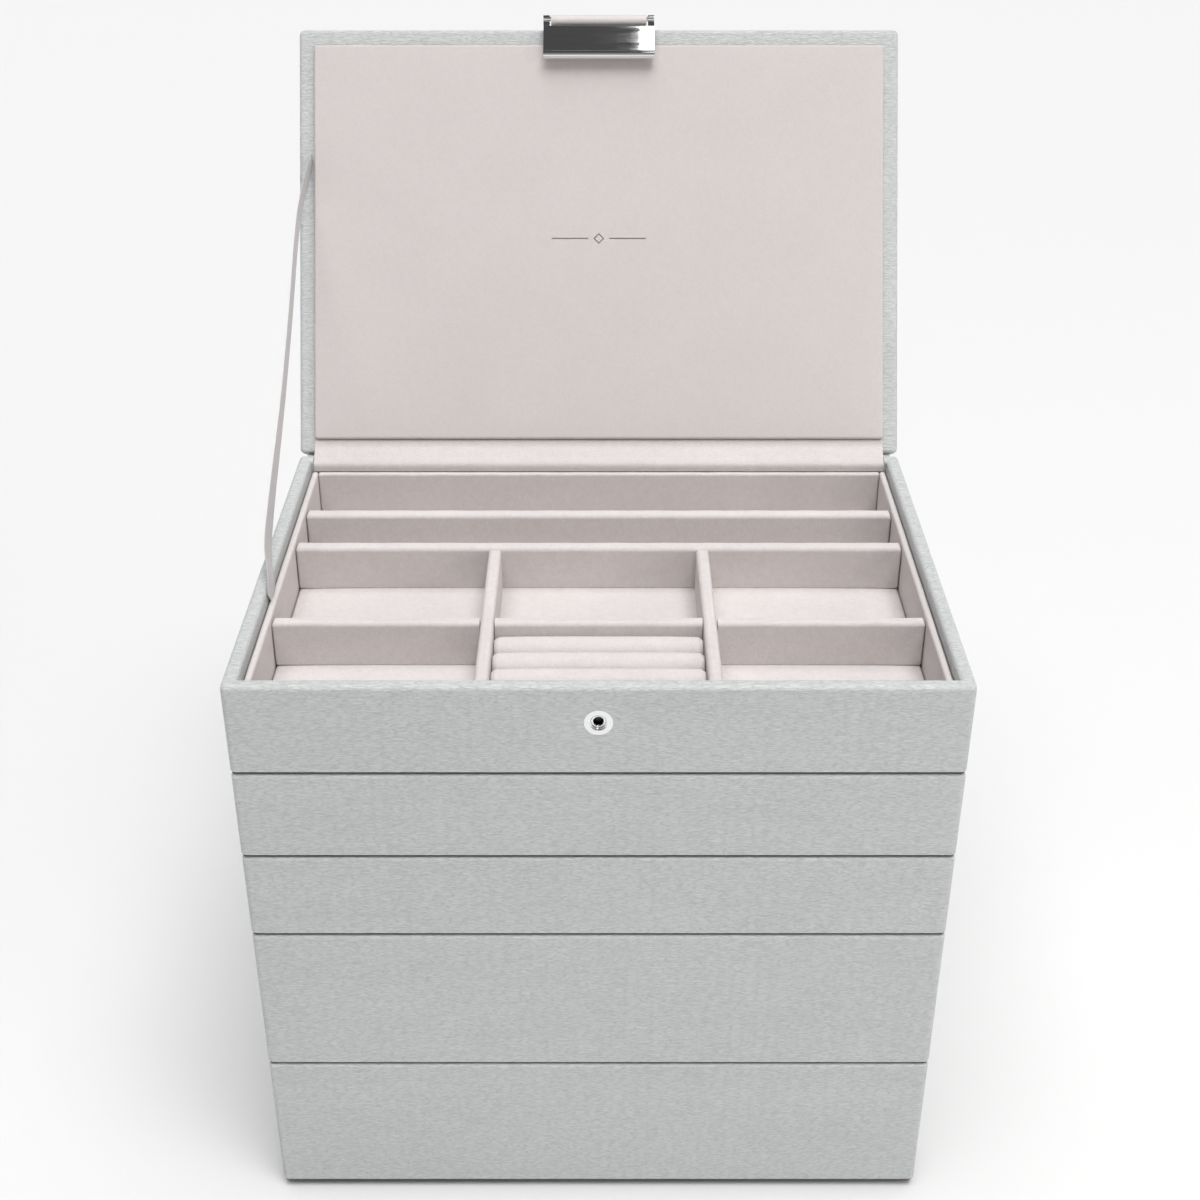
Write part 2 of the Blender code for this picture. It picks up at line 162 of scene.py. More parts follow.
@dataclass(frozen=True)
class RoundedPlan:
    """A rectangle with round corners seen from above.

    Attributes:
        centre: Its middle in X and Y.
        half: Half its size in X and Y.
        corner: Radius of its corners.
        corner_steps: Steps round each corner.
        side_steps: Steps along each side.
    """

    centre: tuple[float, float]
    half: tuple[float, float]
    corner: float
    corner_steps: int = 8
    side_steps: int = 20

    @classmethod
    def over(cls, low: Vector, high: Vector, corner: float, side_steps: int = 20) -> "RoundedPlan":
        """The plan that fills a box seen from above.

        Args:
            low: The box's lowest corner.
            high: Its highest corner.
            corner: Radius of the plan's corners.
            side_steps: Steps along each side.

        Returns:
            The plan.
        """
        centre = ((low[0] + high[0]) / 2, (low[1] + high[1]) / 2)
        half = ((high[0] - low[0]) / 2, (high[1] - low[1]) / 2)
        return cls(centre, half, corner, side_steps=side_steps)

    def rings(self, profile: np.ndarray) -> np.ndarray:
        """One loop for each (inset, height) row of a profile.

        A point is its place on the inner rectangle, whose corners are the centres of the rounding, pushed
        out along its outward direction by the corner radius that the inset leaves.

        Args:
            profile: Rows of inset and height.

        Returns:
            An array of shape (rows, columns, 3).
        """
        turn = np.linspace(0, math.pi / 2, self.corner_steps + 1)
        signs = np.array([(1, 1), (-1, 1), (-1, -1), (1, -1)], float)
        beside = 0.004  # a column this near the corners keeps the side flat in the light
        share = np.arange(1, self.side_steps)[:, None] / self.side_steps
        share = np.vstack(([beside], share, [1 - beside]))
        core, outward = [], []
        for k in range(4):
            way = np.column_stack((np.cos(turn + k * math.pi / 2), np.sin(turn + k * math.pi / 2)))
            outward += [way, np.repeat(way[-1:], len(share), axis=0)]
            core += [np.repeat(signs[k:k + 1], len(turn), axis=0)]
            core += [signs[k] + (signs[(k + 1) % 4] - signs[k]) * share]
        core_at, out_at = np.concatenate(core), np.concatenate(outward)
        inset = profile[:, :1]
        least = 0.3 * MM
        radius = np.maximum(self.corner - inset, least)[:, :, None]
        half = (np.array(self.half) - inset)[:, None, :]
        flat = core_at * np.maximum(half - radius, 0) + out_at * radius + np.array(self.centre)
        height = np.broadcast_to(profile[:, 1][:, None, None], flat.shape[:2] + (1,))
        return np.concatenate((flat, height), axis=2)


def arc(centre: tuple[float, float], radius: float, start: float, end: float, steps: int) -> np.ndarray:
    """Points of a circle's arc in a plane, centre + radius (cos a, sin a).

    Args:
        centre: The circle's middle.
        radius: Its radius.
        start: First angle in degrees.
        end: Last angle in degrees.
        steps: Number of steps.

    Returns:
        An array of shape (steps + 1, 2).
    """
    angle = np.radians(np.linspace(start, end, steps + 1))
    return np.array(centre) + radius * np.column_stack((np.cos(angle), np.sin(angle)))


def turned(profile: np.ndarray, centre: tuple[float, float, float], steps: int = 64) -> Solid:
    """A closed (radius, depth) profile turned about the Y axis: x = r cos a, z = r sin a, y = depth.

    Args:
        profile: Rows of radius and depth, in order round the section.
        centre: The point on the axis where depth is zero.
        steps: Steps round the axis.

    Returns:
        The ring-shaped solid.
    """
    angle = np.linspace(0, 2 * math.pi, steps, endpoint=False)
    radius, depth = profile[:, 0], profile[:, 1]
    x = np.cos(angle)[:, None] * radius
    z = np.sin(angle)[:, None] * radius
    y = np.broadcast_to(depth, x.shape)
    return skin(np.stack((x, y, z), axis=-1) + np.array(centre), around=True)


def loft_x(x: np.ndarray, loops: np.ndarray) -> Solid:
    """Closed (y, z) loops, each at its own X, joined into a solid.

    Args:
        x: The X places.
        loops: One loop for each place, shape (places, columns, 2).

    Returns:
        The solid.
    """
    places = np.broadcast_to(x[:, None, None], loops.shape[:2] + (1,))
    return skin(np.concatenate((places, loops), axis=2))


def along_x(section: np.ndarray, x: np.ndarray) -> Solid:
    """A closed (y, z) section carried along X, unchanged.

    Args:
        section: Rows of y and z round the section.
        x: The X places.

    Returns:
        The solid.
    """
    return loft_x(x, np.broadcast_to(section, (len(x),) + section.shape))


def loft_z(outlines: list[np.ndarray], heights: list[float], around: bool = False) -> Solid:
    """Closed (x, y) outlines, each at its own height, joined into a solid.

    Args:
        outlines: Outlines with the same number of points, shape (n, 2) each.
        heights: Their heights.
        around: True where the last outline meets the first.

    Returns:
        The solid.
    """
    rows = [np.column_stack((plan, np.full(len(plan), z))) for plan, z in zip(outlines, heights)]
    return skin(np.array(rows), around)


def smooth_path(points: np.ndarray, count: int) -> np.ndarray:
    """A Catmull-Rom curve through points: a cubic between each two, with the slope of their neighbours.

    Args:
        points: The places that the curve passes, shape (n, d).
        count: How many points to return, evenly spread over the stretches.

    Returns:
        An array of shape (count, d).
    """
    padded = np.vstack((2 * points[0] - points[1], points, 2 * points[-1] - points[-2]))
    where = np.linspace(0, len(points) - 1, count)
    k = np.minimum(where.astype(int), len(points) - 2)
    t = (where - k)[:, None]
    a, b, c, d = padded[k], padded[k + 1], padded[k + 2], padded[k + 3]
    return 0.5 * (2 * b + (c - a) * t + (2 * a - 5 * b + 4 * c - d) * t**2 + (3 * b - a - 3 * c + d) * t**3)


def leaf(path: np.ndarray, thickness: float) -> np.ndarray:
    """The section of a thin bent strip: a plane path, and back along the same path moved to its left.

    Args:
        path: Points in a plane, shape (n, 2).
        thickness: How far the second side lies to the left; negative for the right.

    Returns:
        The closed section, shape (2 n, 2).
    """
    slope = np.gradient(path, axis=0)
    left = np.column_stack((-slope[:, 1], slope[:, 0]))
    left /= np.linalg.norm(left, axis=1, keepdims=True)
    return np.vstack((path, (path + left * thickness)[::-1]))


def link(name: str, data: bpy.types.ID) -> bpy.types.Object:
    """Puts a mesh, a lamp or a camera in the scene.

    Args:
        name: The object's name.
        data: What it shows.

    Returns:
        The new object.
    """
    made = bpy.data.objects.new(name, data)
    bpy.context.scene.collection.objects.link(made)
    return made


def piece(name: str, solid: Solid, finish: bpy.types.Material, sharp: float = SHARP) -> bpy.types.Object:
    """A finished piece, with its place in its mesh and its faces pointing out.

    Args:
        name: The piece's name.
        solid: Its skin.
        finish: Its material.
        sharp: Edges above this angle in degrees stay sharp.

    Returns:
        The new object.
    """
    mesh = bpy.data.meshes.new(name)
    mesh.from_pydata(solid.points.tolist(), [], solid.faces)
    mesh.update()
    if signed_volume(mesh) < 0:
        mesh.flip_normals()
    mesh.shade_smooth()
    mesh.set_sharp_from_angle(angle=math.radians(sharp))
    mesh.materials.append(finish)
    return link(name, mesh)


def signed_volume(mesh: bpy.types.Mesh) -> float:
    """The volume inside a mesh, negative where its faces point in.

    It sums a . (b x c) / 6 over the triangles.

    Args:
        mesh: A closed mesh.

    Returns:
        Cubic metres.
    """
    mesh.calc_loop_triangles()
    points = np.zeros(len(mesh.vertices) * 3)
    corners = np.zeros(len(mesh.loop_triangles) * 3, np.int32)
    mesh.vertices.foreach_get("co", points)
    mesh.loop_triangles.foreach_get("vertices", corners)
    a, b, c = np.moveaxis(points.reshape(-1, 3)[corners.reshape(-1, 3)], 1, 0)
    return float(np.einsum("ij,ij->", a, np.cross(b, c)) / 6)


def carve(target: bpy.types.Object, tools: list[Solid], finish: bpy.types.Material) -> None:
    """Takes closed shapes away from a piece for good, with exact Booleans.

    Args:
        target: The piece to cut.
        tools: The shapes that are taken away.
        finish: The material of the cut faces.
    """
    cutters = [piece(f"cut_{i}", tool, finish) for i, tool in enumerate(tools)]
    for cutter in cutters:
        cut = target.modifiers.new("cut", "BOOLEAN")
        cut.operation = "DIFFERENCE"
        cut.object = cutter
    view = bpy.context.evaluated_depsgraph_get()
    done = bpy.data.meshes.new_from_object(target.evaluated_get(view))
    target.modifiers.clear()
    target.data = done
    done.shade_smooth()
    done.set_sharp_from_angle(angle=math.radians(SHARP))
    for cutter in cutters:
        bpy.data.objects.remove(cutter)


def block(low: tuple[float, float, float], high: tuple[float, float, float]) -> Solid:
    """A plain box between two corners, as a cutting tool."""
    section = np.array([(low[1], low[2]), (high[1], low[2]), (high[1], high[2]), (low[1], high[2])])
    return along_x(section, np.array([low[0], high[0]]))


def bar_y(radius: float, near: float, far: float, centre: tuple[float, float, float]) -> Solid:
    """A round bar along Y, as a cutting tool: rings of (r cos a, y, r sin a).

    Args:
        radius: Its radius.
        near: Its first end, from the centre.
        far: Its last end, from the centre.
        centre: A point of its axis.

    Returns:
        The solid.
    """
    ring = arc((0, 0), radius, 0, 360, 64)[:-1]
    rows = [np.column_stack((ring[:, 0], np.full(len(ring), y), ring[:, 1])) for y in (near, far)]
    return skin(np.array(rows) + np.array(centre))


def half_lap(card: tuple[Vector, Vector], other: tuple[Vector, Vector], below: bool) -> list[Solid]:
    """The slot in a card where another one crosses it.

    Args:
        card: The lowest and highest corner of the card that is cut.
        other: Those of the card that crosses it.
        below: True for a slot in the card's lower half, False for one in its upper half.

    Returns:
        The cutting tool, or nothing where the two don't meet.
    """
    (low, high), (near, far) = card, other
    if near.x >= high.x or far.x <= low.x or near.y >= high.y or far.y <= low.y:
        return []
    middle = (low.z + high.z) / 2
    if below:
        return [block((low.x - MM, near.y - GAP, low.z - MM), (high.x + MM, far.y + GAP, middle + GAP / 2))]
    return [block((near.x - GAP, low.y - MM, middle - GAP / 2), (far.x + GAP, high.y + MM, high.z + MM))]


# ---------------------------------------------------------------- shader effects and finishes
def rgba(colour: Colour) -> tuple[float, float, float, float]:
    """A colour with full cover."""
    return (*colour, 1.0)


class Nodes:
    """Adds and joins the nodes of one node tree."""

    def __init__(self, tree: bpy.types.NodeTree) -> None:
        """Keeps the tree that the nodes go into."""
        self.tree = tree

    def feed(self, node: bpy.types.Node, inputs: dict) -> None:
        """Sets or links a node's inputs.

        Args:
            node: The node.
            inputs: Values or output sockets, by the input's name or number.
        """
        for name, value in inputs.items():
            if isinstance(value, bpy.types.NodeSocket):
                self.tree.links.new(value, node.inputs[name])
            else:
                node.inputs[name].default_value = value

    def add(self, kind: str, inputs: dict | None = None, **settings: object) -> bpy.types.Node:
        """One node.

        Args:
            kind: The node's type name.
            inputs: Values or output sockets for its inputs, by name or number.
            settings: Its own settings.

        Returns:
            The node.
        """
        made = self.tree.nodes.new(kind)
        for name, value in settings.items():
            setattr(made, name, value)
        self.feed(made, inputs or {})
        return made

    def maths(self, operation: str, *values: object) -> bpy.types.NodeSocket:
        """The result of one Math node."""
        return self.add("ShaderNodeMath", dict(enumerate(values)), operation=operation).outputs[0]

    def vectors(self, operation: str, *values: object) -> bpy.types.NodeSocket:
        """The result of one Vector Math node."""
        return self.add("ShaderNodeVectorMath", dict(enumerate(values)), operation=operation).outputs[0]

    def weigh(self, first: object, share: float, second: object, rest: float) -> bpy.types.NodeSocket:
        """The sum first x share + second x rest."""
        return self.maths("MULTIPLY_ADD", first, share, self.maths("MULTIPLY", second, rest))

    def noise(self, vector: object, scale: object, detail: float, **more: float) -> bpy.types.NodeSocket:
        """The value of one Noise texture; more holds its other inputs."""
        inputs = {"Vector": vector, "Scale": scale, "Detail": detail, **more}
        return self.add("ShaderNodeTexNoise", inputs).outputs[0]

    def blend(self, share: object, first: Colour, second: Colour) -> bpy.types.NodeSocket:
        """A colour between two, by a share."""
        inputs = {0: share, 6: rgba(first), 7: rgba(second)}
        return self.add("ShaderNodeMix", inputs, data_type="RGBA").outputs[2]

    def spread(
        self, value: object, low: float = 0, high: float = 1, to: tuple[float, float] = (0, 1)
    ) -> bpy.types.NodeSocket:
        """A value from low to high, stretched over the range named by to and held there."""
        return self.add("ShaderNodeMapRange", {0: value, 1: low, 2: high, 3: to[0], 4: to[1]}).outputs[0]

    def bump(self, height: object, strength: float, depth: float) -> bpy.types.NodeSocket:
        """The normal that a height gives; depth is its relief in metres."""
        inputs = {"Height": height, "Strength": strength, "Distance": depth}
        return self.add("ShaderNodeBump", inputs).outputs[0]


def effect(name: str, inputs: dict[str, tuple[str, object]]) -> tuple:
    """An empty shader group that will put out a Height and a Tone.

    Args:
        name: The group's name.
        inputs: Socket kind and default value by name.

    Returns:
        Its node helper, its inputs by name, and its output node.
    """
    tree = bpy.data.node_groups.new(name, "ShaderNodeTree")
    for label, (kind, value) in inputs.items():
        tree.interface.new_socket(name=label, in_out="INPUT", socket_type=kind).default_value = value
    for label in ("Height", "Tone"):
        tree.interface.new_socket(name=label, in_out="OUTPUT", socket_type="NodeSocketFloat")
    nodes = Nodes(tree)
    return nodes, nodes.add("NodeGroupInput").outputs, nodes.add("NodeGroupOutput")


def grain_effect() -> bpy.types.NodeTree:
    """Pebble grain: long wavy creases, small cells between them, and slow clouds of tone.

    Returns:
        A group with Height and Tone.
    """
    sockets = {"Vector": ("NodeSocketVector", (0, 0, 0)), "Cells": ("NodeSocketVector", (900, 900, 900))}
    nodes, given, result = effect("pebble_grain", sockets)
    scaled = nodes.vectors("MULTIPLY", given["Vector"], given["Cells"])
    drift = nodes.add("ShaderNodeTexNoise", {"Vector": scaled, "Scale": 0.5, "Detail": 2.0})
    warped = nodes.vectors("MULTIPLY_ADD", drift.outputs["Color"], (1.6, 1.6, 1.6), scaled)
    cells = nodes.add("ShaderNodeTexVoronoi", {"Vector": warped, "Scale": 1.0}, feature="DISTANCE_TO_EDGE")
    pebble = nodes.spread(cells.outputs["Distance"], 0.0, 0.22)
    level = nodes.maths("ABSOLUTE", nodes.maths("SUBTRACT", nodes.noise(scaled, 0.9, 2.0), 0.5))
    relief = nodes.weigh(nodes.spread(level, 0.0, 0.07), 0.5, pebble, 0.5)
    height = nodes.maths("MULTIPLY_ADD", nodes.noise(scaled, 3.0, 3.0), 0.25, relief)
    clouds = nodes.spread(nodes.noise(scaled, 0.05, 4.0), 0.25, 0.75)
    nodes.feed(result, {"Height": height, "Tone": nodes.weigh(clouds, 0.12, relief, 0.88)})
    return nodes.tree


def nap_effect() -> bpy.types.NodeTree:
    """Velvet nap: a fine speckle of pile, short brushed streaks and wide soft patches.

    Returns:
        A group with Height and Tone.
    """
    sockets = {"Vector": ("NodeSocketVector", (0, 0, 0)), "Fibres": ("NodeSocketFloat", 2200.0)}
    nodes, given, result = effect("velvet_nap", sockets)
    place = given["Vector"]
    speckle = nodes.spread(nodes.noise(place, given["Fibres"], 2.0, Roughness=0.7), 0.32, 0.68)
    brushed = nodes.spread(nodes.noise(place, 420.0, 3.0, Distortion=0.8), 0.3, 0.7)
    worn = nodes.spread(nodes.noise(place, 26.0, 3.0, Distortion=0.5), 0.3, 0.7)
    tone = nodes.maths("MULTIPLY_ADD", worn, 0.25, nodes.weigh(speckle, 0.45, brushed, 0.3))
    height = nodes.maths("MULTIPLY_ADD", brushed, 0.4, speckle)
    nodes.feed(result, {"Height": height, "Tone": tone})
    return nodes.tree


@dataclass
class Effects:
    """The shader groups that several finishes share."""

    grain: bpy.types.NodeTree = field(default_factory=grain_effect)
    nap: bpy.types.NodeTree = field(default_factory=nap_effect)


def fresh(name: str) -> tuple[bpy.types.Material, Nodes, bpy.types.Node, bpy.types.NodeSocket]:
    """A new material.

    Args:
        name: The finish's name.

    Returns:
        The material, its node helper, its Principled shader and the Object coordinates.
    """
    made = bpy.data.materials.new(name)
    made.use_nodes = True
    nodes = Nodes(made.node_tree)
    shader = made.node_tree.nodes["Principled BSDF"]
    return made, nodes, shader, nodes.add("ShaderNodeTexCoord").outputs["Object"]


@dataclass(frozen=True)
class LeatherFinish:
    """Pale grey faux leather with a fine pebble grain."""

    name: str = "leather"
    crease: Colour = (0.418, 0.437, 0.434)
    face: Colour = (0.600, 0.618, 0.614)
    cells: tuple[float, float, float] = (230, 800, 1300)
    roughness: tuple[float, float] = (0.42, 0.58)
    relief: float = 0.20 * MM

    def build(self, effects: Effects) -> bpy.types.Material:
        """Darker, rougher creases between pale pebbles.

        Args:
            effects: The shared shader groups.

        Returns:
            The material.
        """
        made, nodes, shader, place = fresh(self.name)
        grain = nodes.add("ShaderNodeGroup", node_tree=effects.grain)
        nodes.feed(grain, {"Vector": place, "Cells": self.cells})
        tone = grain.outputs["Tone"]
        nodes.feed(shader, {
            "Base Color": nodes.blend(tone, self.crease, self.face),
            "Roughness": nodes.spread(tone, to=self.roughness[::-1]),
            "Specular IOR Level": 0.35,
            "Normal": nodes.bump(grain.outputs["Height"], 0.7, self.relief),
        })
        return made


@dataclass(frozen=True)
class VelvetFinish:
    """Short-pile velvet: speckled, brushed in places, and lighter where it turns away."""

    name: str
    dark: Colour
    light: Colour
    fibres: float = 2200.0
    sheen: float = 0.15
    relief: float = 0.12 * MM

    def build(self, effects: Effects) -> bpy.types.Material:
        """The nap in colour and relief, under a soft sheen.

        Args:
            effects: The shared shader groups.

        Returns:
            The material.
        """
        made, nodes, shader, place = fresh(self.name)
        nap = nodes.add("ShaderNodeGroup", node_tree=effects.nap)
        nodes.feed(nap, {"Vector": place, "Fibres": self.fibres})
        nodes.feed(shader, {
            "Base Color": nodes.blend(nap.outputs["Tone"], self.dark, self.light),
            "Roughness": 0.95,
            "Specular IOR Level": 0.1,
            "Sheen Weight": self.sheen,
            "Sheen Roughness": 0.45,
            "Sheen Tint": rgba((1.0, 0.97, 0.96)),
            "Normal": nodes.bump(nap.outputs["Height"], 0.55, self.relief),
        })
        return made


@dataclass(frozen=True)
class MetalFinish:
    """Polished or darkened metal with faint wiping marks."""

    name: str
    colour: Colour
    roughness: tuple[float, float]
    relief: float = 0.001 * MM
    marks: tuple[float, float, float] = (40.0, 900.0, 900.0)

    def build(self) -> bpy.types.Material:
        """The material: long marks along X, a little darker and rougher.

        Returns:
            The material.
        """
        made, nodes, shader, place = fresh(self.name)
        drawn = nodes.add("ShaderNodeMapping", {"Vector": place, "Scale": self.marks}).outputs[0]
        wipes = nodes.noise(drawn, 1.0, 4.0)
        share = nodes.spread(wipes, 0.35, 0.75)
        darker = tuple(0.94 * c for c in self.colour)
        nodes.feed(shader, {
            "Metallic": 1.0,
            "Base Color": nodes.blend(share, self.colour, darker),
            "Roughness": nodes.spread(share, to=self.roughness),
            "Normal": nodes.bump(wipes, 0.15, self.relief),
        })
        return made


@dataclass(frozen=True)
class SatinFinish:
    """A woven satin or ribbed cloth: fine threads across the piece and a soft gloss."""

    name: str
    dark: Colour
    light: Colour
    threads: tuple[float, float, float]
    roughness: float = 0.45

    def build(self) -> bpy.types.Material:
        """Diagonal threads under a little fuzz.

        Returns:
            The material.
        """
        made, nodes, shader, place = fresh(self.name)
        spaced = nodes.vectors("MULTIPLY", place, self.threads)
        inputs = {"Vector": spaced, "Scale": 1.0, "Distortion": 0.6, "Detail": 2.0}
        weave = nodes.add("ShaderNodeTexWave", inputs, bands_direction="DIAGONAL").outputs["Fac"]
        tone = nodes.weigh(nodes.noise(place, 900.0, 2.0), 0.4, weave, 0.6)
        nodes.feed(shader, {
            "Base Color": nodes.blend(tone, self.dark, self.light),
            "Roughness": self.roughness,
            "Sheen Weight": 0.2,
            "Normal": nodes.bump(tone, 0.4, 0.06 * MM),
        })
        return made


def floor_finish() -> bpy.types.Material:
    """A plain pale studio floor.

    Returns:
        The material.
    """
    made, nodes, shader, _ = fresh("studio_floor")
    grey = rgba((0.72, 0.72, 0.72))
    nodes.feed(shader, {"Base Color": grey, "Roughness": 0.9, "Specular IOR Level": 0.0})
    return made


class Finishes:
    """Every finish of the box, built once."""

    def __init__(self) -> None:
        """Builds the materials."""
        shared = Effects()
        self.leather = LeatherFinish().build(shared)
        self.velvet = VelvetFinish("velvet", (0.562, 0.523, 0.515), (0.708, 0.667, 0.659)).build(shared)
        tones = (0.557, 0.513, 0.503), (0.618, 0.573, 0.562)
        self.lining = VelvetFinish("lining", *tones, 1500.0, 0.2, 0.05 * MM).build(shared)
        # near-black felt for the foot boards: painted shade that makes each seam between the trays a dark
        # shadow line
        tones = (0.05, 0.052, 0.051), (0.085, 0.088, 0.087)
        self.seam_shade_felt = VelvetFinish("seam_shade_felt", *tones, sheen=0.1).build(shared)
        self.tab = SatinFinish("tab", (0.60, 0.56, 0.55), (0.74, 0.70, 0.69), (900, 4000, 4000)).build()
        threads = (2500, 2500, 2500)
        self.ribbon = SatinFinish("ribbon", (0.44, 0.44, 0.44), (0.62, 0.62, 0.62), threads, 0.35).build()
        self.chrome = MetalFinish("chrome", (0.86, 0.86, 0.87), (0.02, 0.05)).build()
        self.foil = MetalFinish("foil", (0.62, 0.61, 0.60), (0.3, 0.45)).build()
        self.dark_metal = MetalFinish("dark_metal", (0.06, 0.06, 0.06), (0.3, 0.5)).build()
        self.floor = floor_finish()


def joint(name: str) -> dict:
    """The frame's record of one joint."""
    return next(j for j in frame["joints"] if j["name"] == name)


def settle(made: bpy.types.Object, body: str, slot: Slot, *replaced: str) -> bpy.types.Object:
    """Hangs a piece on its body and hides the nodes that it stands for.

    Args:
        made: The piece.
        body: The body that it moves with.
        slot: Its material slot; not used.
        replaced: The nodes that it stands for.

    Returns:
        The same piece.
    """
    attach(made, body)
    if replaced:
        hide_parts(*replaced)
    LOG.info("%s rides on %s", made.name, body)
    return made


# ---------------------------------------------------------------- trays
@dataclass
class Tray:
    """One tray: leather shell, foot, velvet wall cards, floor pad and dividers.

    Attributes:
        number: 1 for the top tray, counted down.
        finishes: The finishes.
        wall: Thickness of the leather-wrapped wall.
        corner: Radius of the shell's upright corners.
        edge: Rounding of its wrapped edges.
        base: Thickness of its bottom board.
        card: Thickness of the velvet wall cards.
        crown: How far the floor pad swells.
        lift: How far the shell's underside stands above the underside of the foot board's flange.
        sharp: Rounding of the shell's lower edge.
        inset: How far the flange's edge stands back from the shell's face.
        shelf: How far the top tray's rim is lowered behind the hinge velvet.
        top: Rounding of the dividers' tops.
    """

    number: int
    finishes: Finishes
    wall: float = 5.3 * MM
    corner: float = 2.2 * MM
    edge: float = 1.6 * MM
    base: float = 5.0 * MM
    card: float = 2.5 * MM
    crown: float = 0.5 * MM
    lift: float = 0.75 * MM
    sharp: float = 0.3 * MM
    inset: float = 0.45 * MM
    shelf: float = 1.4 * MM
    top: float = 1.7 * MM

    @property
    def body(self) -> str:
        """The tray's body."""
        return f"tray_{self.number}"

    def build(self) -> None:
        """Makes and dresses every piece of the tray."""
        self.shell()
        self.foot()
        self.wall_cards()
        self.floor_pad()
        self.dividers()

    def shell(self) -> None:
        """The wrapped box: outer wall, rounded rim, inner wall and board, as one skin of rings."""
        low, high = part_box(f"tray_{self.number}_shell")
        plan = RoundedPlan.over(low, high, self.corner)
        e = self.edge
        under = quarter(low.z + self.lift + self.sharp, low.z + self.lift, 0, self.sharp)[::-1]
        outside = quarter(high.z - e, high.z, 0, e)
        inside = quarter(high.z - e, high.z, self.wall, -e)[::-1]
        floor = np.array([(self.wall, low.z + self.base)])
        rings = plan.rings(np.vstack((under, outside, inside, floor)))
        made = piece(f"leather_shell_{self.number}", skin(rings), self.finishes.leather)
        if self.number == 1:
            carve(made, self.cut_outs(low, high), self.finishes.leather)
        settle(made, self.body, Slot.LEATHER, f"tray_{self.number}_shell")

    def cut_outs(self, low: Vector, high: Vector) -> list[Solid]:
        """The top tray's lowered back rim and the pocket behind its socket.

        Args:
            low: The shell's lowest corner.
            high: Its highest corner.

        Returns:
            The cutting tools.
        """
        strip_low, strip_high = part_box("hinge_velvet")
        past = 10 * MM
        notch = block((strip_low.x - GAP, high.y - 2 * self.wall, high.z - self.shelf),
                      (strip_high.x + GAP, high.y + past, high.z + past))
        cup_low, cup_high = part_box("snap_cup")
        middle = (0.0, low.y, (cup_low.z + cup_high.z) / 2)
        radius = (cup_high.z - cup_low.z) / 2 + GAP
        pocket = bar_y(radius, -4 * MM, cup_high.y - low.y + GAP, middle)
        return [notch, pocket]

    def foot(self) -> None:
        """The board under the tray, in near-black felt that paints the shade of the seam below the shell: a
        soft lower edge and a thin flange under the shell.
        """
        name = f"tray_{self.number}_foot"
        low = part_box(name)[0]
        shell_low, shell_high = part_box(f"tray_{self.number}_shell")
        plan = RoundedPlan.over(shell_low, shell_high, self.corner)
        soft = 0.9 * MM
        neck = low.x - shell_low.x
        top = shell_low.z + self.lift - 0.1 * MM
        edge = self.inset
        flange = [(neck, shell_low.z), (edge, shell_low.z), (edge, top), (edge + 0.2 * MM, top)]
        profile = np.vstack((quarter(low.z + soft, low.z, neck, soft)[::-1], flange))
        # the near-black felt is painted shade for the seam under the shell
        made = piece(f"foot_board_{self.number}", skin(plan.rings(profile)), self.finishes.seam_shade_felt)
        settle(made, self.body, Slot.VELVET, name)

    def wall_cards(self) -> None:
        """Four velvet-wrapped cards along the walls; the front and back card stand between the others."""
        name = f"tray_{self.number}_liner"
        low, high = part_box(name)
        c = self.card
        slit = 0.15 * MM
        left = wrapped_card((low.x, low.y, low.z), (low.x + c, high.y, high.z))
        right = wrapped_card((high.x - c, low.y, low.z), (high.x, high.y, high.z))
        inner = (low.x + c + slit, high.x - c - slit)
        back = wrapped_card((inner[0], high.y - c, low.z), (inner[1], high.y, high.z))
        front = wrapped_card((inner[0], low.y, low.z), (inner[1], low.y + c, high.z))
        made = piece(f"wall_cards_{self.number}", left + right + back + front, self.finishes.velvet)
        settle(made, self.body, Slot.VELVET, name)

    def floor_pad(self) -> None:
        """The padded floor: soft edges and a crown that rises quickly and then stays level."""
        name = f"tray_{self.number}_floor_pad"
        low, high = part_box(name)
        solid = crowned_pad(low, high, 1.2 * MM, self.crown)
        made = piece(f"floor_cushion_{self.number}", solid, self.finishes.velvet, 60)
        settle(made, self.body, Slot.VELVET, name)

    def dividers(self) -> None:
        """The tray's dividers; those that cross are cut to half their height where they meet."""
        names = sorted(n for n in frame["nodes"] if n.startswith(f"tray_{self.number}_") and "divider" in n)
        crossing = [n for n in names if "cross" in n]
        for name in names:
            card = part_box(name)
            made = piece(f"velvet_{name}", wrapped_card(*card, self.top), self.finishes.velvet)
            below = name in crossing
            others = [other for other in names if (other in crossing) != below]
            tools = [tool for other in others for tool in half_lap(card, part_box(other), below)]
            if tools:
                carve(made, tools, self.finishes.velvet)
            settle(made, self.body, Slot.VELVET, name)


def wrapped_card(low: Vector | tuple, high: Vector | tuple, soft: float = 1.1 * MM) -> Solid:
    """A velvet-wrapped card standing on edge, with a round top.

    Args:
        low: Its lowest corner.
        high: Its highest corner.
        soft: Rounding of its top, at most half its thickness.

    Returns:
        Rings of a rounded plan that lean in over a quarter ellipse at the top, which rises and falls a
        few hundredths of a millimetre on its way.
    """
    thin = min(high[0] - low[0], high[1] - low[1])
    soft = min(soft, 0.46 * thin)
    plan = RoundedPlan.over(Vector(low), Vector(high), min(0.9 * MM, 0.4 * thin), side_steps=36)
    foot = 0.4 * MM
    bottom = [(foot, low[2]), (0, low[2] + foot)]
    rings = plan.rings(np.vstack((bottom, quarter(high[2] - soft, high[2], 0, soft, 7))))
    wave = 0.06 * MM * np.sin(rings[:, :, 0] * 310 + rings[:, :, 1] * 270)
    rings[2:, :, 2] += wave[2:]
    return skin(rings)


